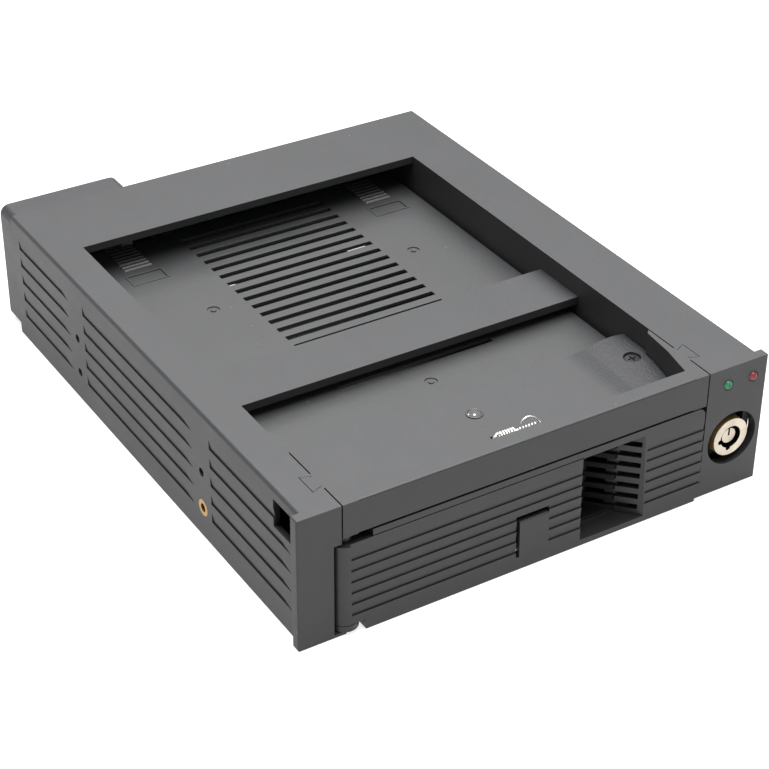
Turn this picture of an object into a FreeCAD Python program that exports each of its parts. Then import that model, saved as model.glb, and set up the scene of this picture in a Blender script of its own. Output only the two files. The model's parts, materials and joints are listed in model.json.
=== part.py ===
import FreeCAD, Part
import math
import os

# Hot swap drive cage: a half-height 5.25 inch bay body with a removable tray for one 3.5 inch drive.
# Sizes are in millimetres. In this script X runs right from the body's left side, Y runs back from
# the bezel's front face and Z runs up from the underside. save() moves every piece so that the
# origin lies at the middle of the whole object's footprint, on its underside.

V = FreeCAD.Vector

# How far a cutting shape runs past the face that it cuts through
past = 1.0
# How far a joined or cutting shape runs into its neighbour so that the two meet fully
skim = 0.01

# Bay body
body_d = 180.5
side_wall = 2.2
top_wall = 2.4
floor_wall = 0.9
rear_wall = 2.2
inner_wall = 1.6
body_edge = 1.2
rim_left = 11.0
rim_right = 18.5
rim_rear = 29.0
ledge_reach = 5.3
rear_floor_len = 17.0
peep_left_x = 64.0
peep_right_x = 114.0
peep_w = 7.8
peep_y = 4.0
peep_len = 4.6
peep_notch = 3.2
backplane_bay = 8.3

# Bezel
bezel_lip = 2.0
bezel_depth = 3.0
bezel_edge = 0.5
door_step = 2.3
door_step_drop = 11.9
door_jamb = 8.5
foot_reach = 3.6
foot_reach_right = 1.8
foot_depth = 6.0

# Crossbars
crossbar_y = 60.5
crossbar_w = 19.0
crossbar_t = 2.5
crossbar_drop = 6.3

# Side holes and the brass inserts, to the usual bay pattern
hole_y = 55.5
hole_z = 9.9
hole_pitch_y = 79.25
hole_pitch_z = 11.84
hole_r = 1.3
boss_r = 3.3
boss_len = 4.0
insert_r = 2.5
insert_len = 5.6
insert_gap = 0.02

# Side grooves and side window
groove_low_z = 8.2
groove_pitch = 6.0
groove_count = 5
groove_h = 3.2
groove_depth = 0.5
groove_undercut = 0.15
groove_fade = 5.0
groove_front_y = 6.5
groove_hole_gap = 5.2
window_y = 6.5
window_len = 8.7
window_h = 8.6
window_top_gap = 3.1
window_lip = 0.8
window_pocket = 0.7

# Front header and its dovetails
header_h = 10.3
header_clear = 1.3
header_t = 5.0
header_gap = 0.4
wing_pare = 0.15
wing_len = 22.5
wing_root = 4.9
wing_mid_w = 2.7
wing_mid_share = 0.47
wing_end_w = 1.6
dovetail_y = 8.8
dovetail_wide = 7.1
dovetail_neck = 4.6
dovetail_len = 3.0
dovetail_gap = 0.2

# Front deck, its mound, and the lug below the mound
deck_t = 1.4
deck_rise = 0.7
deck_len = 32.8
deck_gap = 0.2
mound_w = 14.0
mound_h = 1.6
mound_len = 26.0
lug_y = 21.5
lug_len = 9.5
lug_reach = 10.9
lug_t = 1.8
lug_gap = 0.3
lug_top_gap = 0.1
lug_drop = 0.6
deck_screw_x_in = 6.2
deck_screw_y = 26.2
deck_screw_r = 0.9
deck_screw_head_r = 2.1
deck_screw_head_h = 0.7
counterbore_r = 2.6
rivet_x = 68.8
rivet_y = 27.2
rivet_head_r = 2.5
rivet_head_h = 0.35
rivet_r = 1.0
rivet_foot_r = 1.9
rivet_foot_h = 0.3
rivet_foot_gap = 0.1
mark_hole_x = 87.9
mark_hole_y = 13.5
mark_hole_r = 0.5

# Return spring
spring_x = 66.4
spring_y = 14.2
spring_r = 1.15
spring_wire_r = 0.22
spring_turns = 7
spring_len = 6.6
spring_leg_r = 0.2
spring_axis_h = 0.45
spring_leg_gap = 0.1
slit_w = 1.5
slit_end_gap = 0.15

# Lock
lock_x_in = 8.3
lock_z = 16.9
lock_recess_r = 8.5
lock_face_set = 0.4
lock_r = 5.9
lock_thread_r = 4.8
lock_len = 22.0
lock_wall_y = 5.5
lock_wall_t = 2.0
lock_wall_half = 8.5
key_ring_r = 3.5
key_post_r = 2.35
key_ring_depth = 5.6
key_post_set = 0.8
key_notch_r = 0.8
plug_r = 2.95
shaft_gap = 0.05
nut_t = 3.0
nut_half = 6.0
cam_r = 4.4
cam_t = 1.6
cam_gap = 0.3
crank_r = 3.0
crank_pin_r = 0.8
crank_pin_len = 2.2
crank_rest_deg = 45.0
cam_screw_r = 1.5
cam_screw_head = 0.8

# Lock bar
bar_t = 0.6
bar_y = 12.5
bar_w = 4.0
bar_left = 65.4
bar_gap = 0.15
bar_pass_gap = 0.5
bar_slot_gap = 0.25
bar_arm_half = 2.1
arm_gap = 0.5
bar_lobe_r = 3.4
guide_gap = 0.1
guide_end_gap = 0.2
bar_tab_x = 80.5
bar_tab_w = 0.8
bar_tab_h = 2.3
tooth_x = 105.0
tooth_w = 4.0
tooth_drop = 0.7
tooth_reach = 1.9
stop_gap = 0.4
stop_side_gap = 0.5
stop_t = 2.0
stop_h = 1.05

# Indicator lights, their board and their lead
led_r = 1.5
led_gap = 0.05
led_drop = 5.8
led_green_x_in = 6.9
led_red_x_in = 15.7
led_proud = 0.8
led_flange_r = 1.8
led_flange_t = 1.0
led_pin_r = 0.25
led_pin_half = 0.64
led_board_y = 9.0
led_board_t = 1.2
led_board_h = 5.8
led_board_margin = 1.9
led_pocket_skin = 0.7
lead_r = 1.2
lead_plug_half = 2.2
lead_plug_len = 3.0
lead_plug_h = 2.8
lead_sink = 0.5
clip_w = 4.0
clip_half_h = 1.2

# Backplane and rear sockets
board_t = 1.6
backplane_left = 44.0
backplane_margin = 4.0
backplane_low = 3.0
backplane_top_gap = 1.4
backplane_room = 4.0
board_screw_r = 1.3
board_screw_head_r = 2.4
board_screw_head_h = 1.2
board_screw_inset = 4.5
board_screw_rise = 17.0
standoff_r = 2.6
power_x = 62.0
power_w = 22.0
power_h = 10.5
data_x = 96.0
data_w = 16.0
data_h = 7.0
socket_z = 22.0
socket_wall = 1.1
socket_proud = 1.8
socket_gap = 0.2

# Docking pair
dock_x = 61.0
dock_w = 42.0
dock_z = 14.0
dock_h = 4.0
dock_wall = 1.2
dock_gap = 0.3
dock_overlap = 3.5
dock_end_gap = 3.0

# Cooling fan
fan_size = 40.0
fan_t = 10.0
fan_corner = 3.0
fan_rim = 1.5
fan_left = 0.6
fan_low = 0.2
fan_screw_in = 4.0
fan_screw_r = 1.5
fan_screw_head_r = 2.5
fan_screw_head_h = 1.6
fan_screw_len = 11.6
fan_hub_r = 10.5
fan_base_t = 1.8
fan_tip_gap = 0.4
fan_blades = 7
fan_blade_t = 1.0
fan_blade_deg = 34.0
fan_shaft_r = 1.0
fan_end_gap = 0.6
fan_strut_w = 2.6

# Tray
tray_side_gap = 1.2
tray_wall = 2.0
tray_floor = 1.0
tray_lift = 0.2
tray_front = 5.6
tray_head_t = 2.4
tray_head_len = 10.4
drive_l = 147.0
drive_h = 26.1
drive_top_gap = 0.3
drive_end_gap = 0.1
drive_front_gap = 1.4
tray_board_low = 11.0
tray_board_high = 26.5
tray_board_x = 40.0
tray_board_w = 65.0
sata_x = 61.0
sata_w = 41.5
sata_h = 4.6
tray_rear_t = 1.4
drive_w = 101.6
drive_side_gap = 0.25
guide_count = 4
guide_pitch = 36.0
guide_start = 12.0
guide_t = 1.6
guide_w = 4.0
guide_h = 8.0
floor_slot_start = 6.0
head_ear_gap = 0.3
tray_hole_pitch_x = 95.25
tray_hole_pitch_y = 44.45
tray_hole_rear = 41.28
access_hole_r = 3.5
tray_hole_r = 1.8
floor_slot_w = 4.0
floor_slot_len = 60.0
floor_slot_pitch = 9.0
floor_slot_count = 6

# Tray cover
cover_t = 1.1
cover_gap = 0.1
cover_split = 0.2
cover_len = 148.9
slot_count = 20
slot_pitch = 5.12
slot_w = 2.1
slot_len = 50.5
slot_x = 46.8
slot_last_y = 158.3
cover_rail_w = 1.0
cover_rail_h = 1.6
mark_front_gap = 9.3
mark_rear_gap = 37.4
mark_front_x = 1.1
mark_left_x = 33.0
mark_right_x = 36.8
cover_mark_r = 1.9
cover_mark_depth = 0.35
grip_w = 9.0
grip_ribs = 8
grip_pitch = 1.85
grip_rib_share = 0.6
grip_rib_h = 0.45
grip_left_in = 11.3
grip_right_in = 8.2
grip_rear_in = 14.9
label_w = 12.2
label_len = 6.2
label_gap = 3.1
label_rim = 0.6
label_rise = 0.25
label_sink = 0.2

# Handle panel
handle_gap = 0.5
handle_top_gap = 0.4
handle_low = 0.1
handle_rear = 5.0
handle_lean = 1.0
knuckle_r = 4.0
handle_skin = 1.6
handle_rib = 2.4
hinge_notch_w = 11.0
hinge_notch_h = 2.2
lower_knuckle_h = 1.9
hinge_gap = 0.2
handle_foot_w = 4.4
handle_foot_lift = 1.2
pin_r = 1.2
pin_gap = 0.07
ear_r = 2.0
ear_t = 1.6
relief_gap = 0.7
bead_z = 5.8
bead_pitch = 3.47
bead_count = 6
bead_h = 3.1
bead_depth = 0.4
bead_undercut = 0.12
strip_line_drop = 2.1
strip_line_h = 0.3
strip_line_depth = 0.35
corner_round = 2.2
finger_x = 85.7
finger_w = 21.7
finger_low = 1.9
finger_top_gap = 2.1
louvre_h = 1.7
louvre_wall = 2.0

# Finger scoop in the tray head
scoop_depth = 6.6
scoop_wall = 1.0
scoop_fit = 0.2

# Release tab
tab_x = 65.3
tab_w = 9.5
tab_low = 4.4
tab_h = 11.3
tab_t = 1.9
tab_proud = 0.35
tab_side_gap = 0.8
tab_top_gap = 1.5
tab_pin_r = 0.6
tab_pin_z = 5.9
tab_pin_depth = 1.6
tab_barrel_r = 1.4
tab_hook_w = 3.2
tab_hook_h = 1.6
tab_hook_drop = 3.0
tab_hook_reach = 2.0
catch_side_gap = 0.5
catch_top_gap = 0.6
catch_swing_gap = 0.35
tab_angle_deg = 8.0
tab_spring_r = 1.1
tab_spring_gap = 0.15
tab_spring_len = 2.6

# Derived places
tray_bottom = floor_wall + tray_lift
drive_low = tray_bottom + tray_floor
cover_low = drive_low + drive_h + drive_top_gap + cover_gap
cover_top = cover_low + cover_t
header_low = cover_top + header_clear
body_h = header_low + header_h
ceiling = body_h - top_wall
deck_z = header_low + deck_rise
deck_top = deck_z + deck_t
lug_z = deck_z - lug_drop
led_z = body_h - led_drop
backplane_high = ceiling - backplane_top_gap
open_left = rim_left
open_right = open_left + 2 * (tray_side_gap + tray_wall + guide_w + drive_side_gap) + drive_w
body_w = open_right + rim_right
open_rear = body_d - rim_rear
door_left = open_left - door_step
door_right = open_right
lock_x = body_w - lock_x_in
rear_inside = body_d - rear_wall
divider_end = rear_inside - backplane_bay
backplane_face = divider_end + backplane_room
ledge_left = open_left + ledge_reach
ledge_right = open_right - ledge_reach
tray_left = open_left + tray_side_gap
tray_right = open_right - tray_side_gap
tray_middle = (tray_left + tray_right) / 2
scoop_back = tray_front + scoop_depth + scoop_wall
drive_front = scoop_back + drive_front_gap
connector_y = drive_front + drive_l + drive_end_gap
board_y = connector_y + tray_rear_t
tray_rear = board_y
tray_hole_y = connector_y - tray_hole_rear - tray_hole_pitch_y
cover_front = tray_front + tray_head_len + cover_split
cover_rear = cover_front + cover_len
handle_left = door_left + handle_gap
handle_right = door_right - handle_gap
handle_top = header_low - handle_top_gap
hinge_x = handle_left + knuckle_r
hinge_y = knuckle_r - handle_lean
bar_top = deck_z - bar_gap
bar_low = bar_top - bar_t
bar_travel = 2 * crank_r * math.sin(math.radians(crank_rest_deg))
cam_y = lock_len + cam_gap
crank_rest_x = lock_x + crank_r * math.sin(math.radians(crank_rest_deg))
crank_rest_z = lock_z + crank_r * math.cos(math.radians(crank_rest_deg))
arm_y = cam_y + cam_t + arm_gap
fan_bore_r = fan_size / 2 - fan_rim
fan_rotor_r = fan_bore_r - fan_tip_gap
fan_screw_pitch = fan_size - 2 * fan_screw_in
fan_x = fan_left + fan_size / 2
fan_z = fan_low + fan_size / 2
object_rear = body_d + fan_t


def front_y(z):
    """Depth of the handle panel's leaning front face at height z."""
    return -handle_lean * (handle_top - z) / (handle_top - handle_low)


object_front = min(front_y(tab_low) - tab_proud, front_y(handle_low))
shift = V(-body_w / 2, -(object_front + object_rear) / 2, 0)


def box(x0, x1, y0, y1, z0, z1):
    return Part.makeBox(x1 - x0, y1 - y0, z1 - z0, V(x0, y0, z0))


def cyl(radius, start, end):
    axis = end.sub(start)
    return Part.makeCylinder(radius, axis.Length, start, axis)


def cyl_y(radius, x, z, y0, y1):
    return cyl(radius, V(x, y0, z), V(x, y1, z))


def cyl_z(radius, x, y, z0, z1):
    return cyl(radius, V(x, y, z0), V(x, y, z1))


def face_of(points):
    return Part.Face(Part.makePolygon(points + [points[0]]))


def prism_x(points, x0, x1):
    return face_of([V(x0, y, z) for y, z in points]).extrude(V(x1 - x0, 0, 0))


def prism_y(points, y0, y1):
    return face_of([V(x, y0, z) for x, z in points]).extrude(V(0, y1 - y0, 0))


def prism_z(points, z0, z1):
    return face_of([V(x, y, z0) for x, y in points]).extrude(V(0, 0, z1 - z0))


def join(shapes):
    return shapes[0].multiFuse(shapes[1:]).removeSplitter()


def carve(shape, tools):
    return shape.cut(Part.makeCompound(tools) if len(tools) > 1 else tools[0]).removeSplitter()


def mirror_x(shape):
    return shape.mirror(V(body_w / 2, 0, 0), V(1, 0, 0))


def round_edges(shape, radius, wanted):
    edges = [edge for edge in shape.Edges if wanted(edge)]
    return shape.makeFillet(radius, edges)


def along(edge, axis):
    direction = edge.tangentAt(edge.FirstParameter)
    return abs(direction.dot(axis)) > 0.99


def save(node, shape):
    placed = shape.copy()
    placed.translate(shift)
    placed.exportStep("parts/" + node + ".step")


# ---- Fixed cage

def header_plan(gap):
    """Plan of the header: bar, two tapering wings and two dovetails, grown by gap."""
    bar = [(open_left - gap, -1), (open_right + gap, -1),
           (open_right + gap, header_t + gap), (open_left - gap, header_t + gap)]
    tip = header_t + wing_len
    middle = header_t + wing_len * wing_mid_share
    wing = [(open_right + gap, 0), (open_right - wing_root - gap, 0),
            (open_right - wing_root - gap, header_t),
            (open_right - wing_mid_w - gap, middle), (open_right - wing_end_w - gap, tip - wing_end_w),
            (open_right + gap, tip + gap)]
    neck = dovetail_y + (dovetail_wide - dovetail_neck) / 2
    tail = [(open_right - 0.5, neck - gap), (open_right, neck - gap),
            (open_right + dovetail_len + gap, dovetail_y - gap),
            (open_right + dovetail_len + gap, dovetail_y + dovetail_wide + gap),
            (open_right, neck + dovetail_neck + gap), (open_right - 0.5, neck + dovetail_neck + gap)]
    return bar, wing, tail


def opposite(points):
    """The same plan on the opening's left side."""
    return [(open_left + open_right - x, y) for x, y in points]


def groove_wire(y, z, depth, height):
    """Section of a side groove: the wall leans in towards a shadow line at height z."""
    share = depth / groove_depth
    points = [V(-past, y, z), V(0, y, z), V(depth, y, z - groove_undercut * share),
              V(0, y, z + height), V(-past, y, z + height)]
    return Part.makePolygon(points + [points[0]])


def side_groove(z, y0, y1):
    """A long louvre groove that fades out at its front end and stops square at its rear."""
    full = groove_wire(y0 + groove_fade, z, groove_depth, groove_h)
    start = groove_wire(y0, z, 0.05, 0.2)
    fade = Part.makeLoft([start, full], True, True)
    return Part.makeCompound([fade, Part.Face(full).extrude(V(0, y1 - y0 - groove_fade, 0))])


def side_cuts():
    """What is cut from the left side; the right side gets its mirror."""
    rear_hole = hole_y + hole_pitch_y
    spans = [(groove_front_y, hole_y - groove_hole_gap),
             (hole_y + groove_hole_gap, rear_hole - groove_hole_gap),
             (rear_hole + groove_hole_gap, body_d - groove_hole_gap)]
    cuts = []
    for row in range(groove_count):
        for y0, y1 in spans:
            cuts.append(side_groove(groove_low_z + row * groove_pitch, y0, y1))
    for y in (hole_y, rear_hole):
        for z in (hole_z, hole_z + hole_pitch_z):
            cuts.append(cyl(hole_r, V(-past, y, z), V(side_wall + boss_len + past, y, z)))
    cuts.append(cyl(insert_r + insert_gap, V(-past, hole_y, hole_z), V(insert_len, hole_y, hole_z)))
    return cuts


def side_bosses():
    bosses = []
    for y in (hole_y, hole_y + hole_pitch_y):
        for z in (hole_z, hole_z + hole_pitch_z):
            bosses.append(cyl(boss_r, V(side_wall - 0.5, y, z), V(side_wall + boss_len, y, z)))
    return bosses


def fan_corners():
    half = fan_screw_pitch / 2
    return [(fan_x + sx * half, fan_z + sz * half) for sx in (-1, 1) for sz in (-1, 1)]


def backplane_corners():
    right = body_w - backplane_margin
    xs = (backplane_left + board_screw_inset, right - board_screw_inset)
    low = backplane_low + board_screw_inset
    zs = (low, low + board_screw_rise)
    return [(x, z) for x in xs for z in zs]


def led_places():
    return {"led_green": door_right + led_green_x_in, "led_red": door_right + led_red_x_in}


def bay_frame():
    body = box(0, body_w, 0, body_d, 0, body_h)
    body = round_edges(body, body_edge, lambda e: along(e, V(0, 1, 0)) and e.CenterOfMass.z > body_h - 1)
    left_post = box(-bezel_lip, open_left, 0, bezel_depth, 0, body_h)
    left_post = round_edges(left_post, bezel_edge, lambda e: e.CenterOfMass.x < 1 - bezel_lip)
    right_post = box(door_right, body_w + bezel_lip, 0, bezel_depth, 0, body_h)
    right_post = round_edges(right_post, bezel_edge, lambda e: e.CenterOfMass.x > body_w + bezel_lip - 1)
    body = join([body, left_post, right_post])

    right_wall_in = body_w - side_wall
    divider_right = open_right + inner_wall
    lane_low = floor_wall
    voids = [
        # tray lane, with the window above it and the open floor between the ledges
        box(open_left, open_right, door_jamb, rear_inside, lane_low, ceiling),
        box(open_left, open_right, -past, open_rear, header_low - past, body_h + past),
        box(ledge_left, ledge_right, foot_depth, body_d - rear_floor_len, -past, lane_low + past),
        # doorway
        box(door_left, door_right, -past, door_jamb + skim, lane_low, body_h - door_step_drop),
        box(open_left, door_right, -past, door_jamb + skim, lane_low, header_low),
        box(door_left + foot_reach, door_right - foot_reach_right, -past, foot_depth + skim,
            -past, lane_low + past),
        # side chambers
        box(side_wall, door_left - inner_wall, bezel_depth, door_jamb + inner_wall, lane_low, ceiling),
        box(side_wall, open_left - inner_wall, door_jamb + inner_wall, divider_end, lane_low, ceiling),
        box(divider_right, right_wall_in, bezel_depth, divider_end, lane_low, ceiling),
        # bay for the backplane
        box(side_wall, right_wall_in, divider_end - 0.01, rear_inside, lane_low, ceiling),
        # side window
        box(-bezel_lip - past, side_wall + skim, window_y, window_y + window_len,
            body_h - window_top_gap - window_h, body_h - window_top_gap),
        box(window_lip, side_wall + skim, window_y - window_pocket, window_y + window_len + window_pocket,
            body_h - window_top_gap - window_h - window_pocket, body_h - window_top_gap + window_pocket),
    ]
    body = carve(body, voids)

    lock_plate = box(divider_right - 0.5, right_wall_in + 0.5, lock_wall_y, lock_wall_y + lock_wall_t,
                     lock_z - lock_wall_half, lock_z + lock_wall_half)
    extras = [
        box(open_left - 0.5, open_right + 0.5, crossbar_y, crossbar_y + crossbar_w,
            body_h - crossbar_drop - crossbar_t, body_h - crossbar_drop),
        box(ledge_left - 0.5, ledge_right + 0.5, crossbar_y, crossbar_y + crossbar_w, 0, floor_wall),
        box(open_right - lug_reach, open_right + 0.5, lug_y, lug_y + lug_len, lug_z, lug_z + lug_t),
        lock_plate,
    ]
    extras += side_bosses()
    extras += [mirror_x(boss) for boss in side_bosses()]
    for x, z in backplane_corners():
        extras.append(cyl_y(standoff_r, x, z, backplane_face + board_t, rear_inside + 0.5))
    for share in (0.35, 0.65):
        y = body_d * share
        extras.append(box(lead_line_x() + lead_r, right_wall_in + 0.5, y, y + clip_w,
                          led_z - clip_half_h, led_z + clip_half_h))
    body = join([body] + extras)

    cuts = side_cuts()
    cuts += [mirror_x(cut) for cut in side_cuts()]
    bar, wing, tail = header_plan(dovetail_gap)
    for plan in (tail, opposite(tail)):
        cuts.append(prism_z(plan, ceiling, body_h + past))
    cuts.append(cyl_y(lock_recess_r, lock_x, lock_z, -past, bezel_depth + skim))
    cuts.append(cyl_y(lock_thread_r + shaft_gap, lock_x, lock_z, bezel_depth,
                      lock_wall_y + lock_wall_t + past))
    for x in led_places().values():
        cuts.append(cyl_y(led_r + led_gap, x, led_z, -past, bezel_depth + past))
    cuts.append(box(divider_right, body_w - led_pocket_skin, bezel_depth, led_board_y + led_board_t + 0.4,
                    led_z - led_board_h / 2 - 0.2, ceiling - 0.2))
    cuts.append(box(open_right - past, divider_right + past,
                    bar_y - bar_pass_gap, bar_y + bar_w + bar_pass_gap,
                    bar_low - bar_gap, bar_top + bar_gap))
    cuts.append(cyl_z(deck_screw_r, open_right - deck_screw_x_in, deck_screw_y, lug_z - past, deck_top))
    cuts.append(cyl_y(fan_bore_r, fan_x, fan_z, rear_inside - past, body_d + past))
    for x, z in fan_corners():
        cuts.append(cyl_y(fan_screw_r - 0.3, x, z, rear_inside - past, body_d + past))
    for x, z in backplane_corners():
        cuts.append(cyl_y(board_screw_r, x, z, divider_end, body_d - 0.6))
    for x, width, height in ((power_x, power_w, power_h), (data_x, data_w, data_h)):
        cuts.append(box(x - socket_gap, x + width + socket_gap, rear_inside - past, body_d + past,
                        socket_z - socket_gap, socket_z + height + socket_gap))
    for x, y in drive_hole_places():
        cuts.append(cyl_z(access_hole_r, x, y, -past, floor_wall + 0.05))
    rear_floor = body_d - rear_floor_len
    for x in (peep_left_x, peep_right_x):
        y = rear_floor + peep_y
        cuts.append(box(x, x + peep_w, y, y + peep_len, -past, floor_wall + past))
    return carve(body, cuts)


def front_header():
    bar, wing, tail = header_plan(0)
    low = header_low
    block = box(open_left + header_gap, open_right - header_gap, 0, header_t, low, body_h)
    block = round_edges(block, bezel_edge, lambda e: along(e, V(1, 0, 0)) and e.CenterOfMass.y < 1)
    pieces = [block]
    for plan in (wing, opposite(wing)):
        pieces.append(prism_z(plan, low, body_h))
    for plan in (tail, opposite(tail)):
        pieces.append(prism_z(plan, ceiling, body_h))
    shape = join(pieces)
    wing_end = header_t + wing_len + past
    trims = [box(open_left - dovetail_len - past, open_left + wing_pare,
                 -past, wing_end, low - past, ceiling),
             box(open_right - wing_pare, open_right + dovetail_len + past,
                 -past, wing_end, low - past, ceiling)]
    for x0, x1 in ((open_left - past, open_left + header_gap), (open_right - header_gap, open_right + past)):
        trims.append(box(x0, x1, -past, dovetail_y, low - past, body_h + past))
        trims.append(box(x0, x1, dovetail_y + dovetail_wide, wing_end, low - past, body_h + past))
    trims.append(box(open_right - lug_reach - lug_gap, open_right + past,
                     lug_y - lug_gap, lug_y + lug_len + lug_gap, low - past, lug_z + lug_t + lug_top_gap))
    trims.append(box(open_right - wing_root - past, open_right + past,
                     bar_y - bar_pass_gap, bar_y + bar_w + bar_pass_gap, low - past, bar_top + bar_gap))
    return carve(shape, trims)


def mound_profile():
    """Cross-section of the mound: one arc over the deck, steeper at its right end."""
    right = open_right - deck_gap
    left = right - mound_w
    base = deck_top - 0.3
    arc = Part.Arc(V(left, 0, deck_top), V(right - 0.45 * mound_w, 0, deck_top + mound_h),
                   V(right, 0, deck_top + 0.65 * mound_h)).toShape()
    sides = [Part.makeLine(V(right, 0, deck_top + 0.65 * mound_h), V(right, 0, base)),
             Part.makeLine(V(right, 0, base), V(left, 0, base)),
             Part.makeLine(V(left, 0, base), V(left, 0, deck_top))]
    return Part.Face(Part.Wire([arc] + sides))


def front_deck():
    y0 = header_t + deck_gap
    y1 = y0 + deck_len
    plate = box(open_left + deck_gap, open_right - deck_gap, y0, y1, deck_z, deck_top)
    mound = mound_profile()
    mound.translate(V(0, y1 - mound_len, 0))
    mound = mound.extrude(V(0, mound_len, 0))
    slope = prism_x([(y1 - mound_len - past, deck_top), (y1 - mound_len * 0.55, deck_top + mound_h),
                     (y1 - mound_len * 0.55, deck_top + mound_h + 3),
                     (y1 - mound_len - past, deck_top + mound_h + 3)],
                    open_right - mound_w - 2, open_right + past)
    mound = carve(mound, [slope])
    shape = join([plate, mound])
    bar, wing, tail = header_plan(deck_gap)
    screw_x = open_right - deck_screw_x_in
    slit_end = bar_tab_x + bar_tab_w + slit_end_gap
    coil_end = spring_x + spring_len
    coil_half = spring_r + spring_wire_r + 0.15
    coil_low = deck_top + spring_axis_h - coil_half
    lug_low = deck_z - 1
    cuts = [
        prism_z(wing, deck_z - past, body_h),
        prism_z(opposite(wing), deck_z - past, body_h),
        box(open_right - lug_reach - lug_gap, open_right + past, lug_y - lug_gap, lug_y + lug_len + lug_gap,
            lug_low, lug_z + lug_t + lug_top_gap),
        cyl_z(counterbore_r, screw_x, deck_screw_y, deck_top + 0.4, deck_top + mound_h + 2),
        cyl_z(deck_screw_r + 0.2, screw_x, deck_screw_y, deck_z, deck_top + mound_h),
        cyl_z(rivet_r + 0.02, rivet_x, rivet_y, deck_z - past, deck_top + past),
        cyl_z(mark_hole_r, mark_hole_x, mark_hole_y, deck_z - past, deck_top + past),
        box(spring_x - spring_wire_r - 0.15, coil_end + spring_wire_r + 0.15, spring_y - coil_half,
            spring_y + coil_half, coil_low, deck_top + past),
        cyl_z(spring_leg_r + spring_leg_gap, spring_x, spring_y, deck_z - past, deck_top),
        box(coil_end, slit_end, spring_y - slit_w / 2, spring_y + slit_w / 2, deck_z - past, deck_top + past),
    ]
    return carve(shape, cuts)


def deck_screw():
    x = open_right - deck_screw_x_in
    seat = deck_top + 0.4
    head = cyl_z(deck_screw_head_r, x, deck_screw_y, seat, seat + deck_screw_head_h)
    shank = cyl_z(deck_screw_r - 0.02, x, deck_screw_y, lug_z + 0.1, seat + 0.1)
    slots = [box(x - 1.3, x + 1.3, deck_screw_y - 0.25, deck_screw_y + 0.25, seat + 0.3, seat + 3),
             box(x - 0.25, x + 0.25, deck_screw_y - 1.3, deck_screw_y + 1.3, seat + 0.3, seat + 3)]
    return carve(join([head, shank]), slots)


def deck_rivet():
    head = cyl_z(rivet_head_r, rivet_x, rivet_y, deck_top, deck_top + rivet_head_h)
    foot_top = bar_low - rivet_foot_gap
    shank = cyl_z(rivet_r, rivet_x, rivet_y, foot_top - 0.1, deck_top + 0.1)
    foot = cyl_z(rivet_foot_r, rivet_x, rivet_y, foot_top - rivet_foot_h, foot_top)
    return join([head, shank, foot])


def thread_inserts():
    tube = cyl(insert_r, V(0, hole_y, hole_z), V(insert_len, hole_y, hole_z))
    bore = cyl(hole_r, V(-past, hole_y, hole_z), V(insert_len + past, hole_y, hole_z))
    insert = tube.cut(bore)
    return Part.makeCompound([insert, mirror_x(insert)])


def return_spring():
    """A real coil of wire, with a foot down into the deck and a leg to the lock bar's tab."""
    axis_z = deck_top + spring_axis_h
    helix = Part.makeHelix(spring_len / spring_turns, spring_len, spring_r)
    profile = Part.Wire([Part.makeCircle(spring_wire_r, V(spring_r, 0, 0), V(0, 1, 0))])
    coil = Part.Wire(helix).makePipeShell([profile], True, True)
    coil.rotate(V(0, 0, 0), V(0, 1, 0), 90)
    coil.translate(V(spring_x, spring_y, axis_z))
    leg_z = axis_z - spring_r
    leg = cyl(spring_leg_r, V(spring_x + spring_len - 0.1, spring_y, leg_z),
              V(bar_tab_x - 0.05, spring_y, leg_z))
    foot = cyl_z(spring_leg_r, spring_x, spring_y, deck_z + 0.1, leg_z)
    return join([coil, leg, foot])


def lock_barrel():
    face_y = lock_face_set
    front = cyl_y(lock_r, lock_x, lock_z, face_y, lock_wall_y)
    rear = cyl_y(lock_thread_r, lock_x, lock_z, lock_wall_y - 0.1, lock_len)
    shape = join([front, rear])
    cuts = [cyl_y(key_ring_r, lock_x, lock_z, face_y - past, face_y + key_ring_depth),
            cyl_y(plug_r + shaft_gap, lock_x, lock_z, face_y, lock_len + past)]
    for degrees in (192, 262):
        angle = math.radians(degrees)
        x = lock_x + (key_ring_r + 0.1) * math.cos(angle)
        z = lock_z + (key_ring_r + 0.1) * math.sin(angle)
        cuts.append(cyl_y(key_notch_r, x, z, face_y - past, face_y + 2.5))
    return carve(shape, cuts)


def lock_plug():
    face_y = lock_face_set + key_post_set
    post = cyl_y(key_post_r, lock_x, lock_z, face_y, lock_face_set + key_ring_depth + 0.1)
    stem = cyl_y(plug_r, lock_x, lock_z, lock_face_set + key_ring_depth + 0.05, lock_len + 0.1)
    tail = cyl_y(plug_r - 0.9, lock_x, lock_z, lock_len, cam_y + cam_t - 0.9)
    shape = join([post, stem, tail])
    thread = cyl_y(0.7, lock_x, lock_z, lock_len - 3.0, cam_y + cam_t)
    notch = box(lock_x - 0.3, lock_x + 0.3, face_y - past, face_y + 0.8, lock_z, lock_z + key_post_r + past)
    return carve(shape, [thread, notch])


def lock_nut():
    y0 = lock_wall_y + lock_wall_t
    points = []
    for corner in range(6):
        angle = math.radians(30 + 60 * corner)
        reach = nut_half / math.cos(math.radians(30))
        points.append((lock_x + reach * math.cos(angle), lock_z + reach * math.sin(angle)))
    bore = cyl_y(lock_thread_r + 0.02, lock_x, lock_z, y0 - past, y0 + nut_t + past)
    return prism_y(points, y0, y0 + nut_t).cut(bore)


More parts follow.
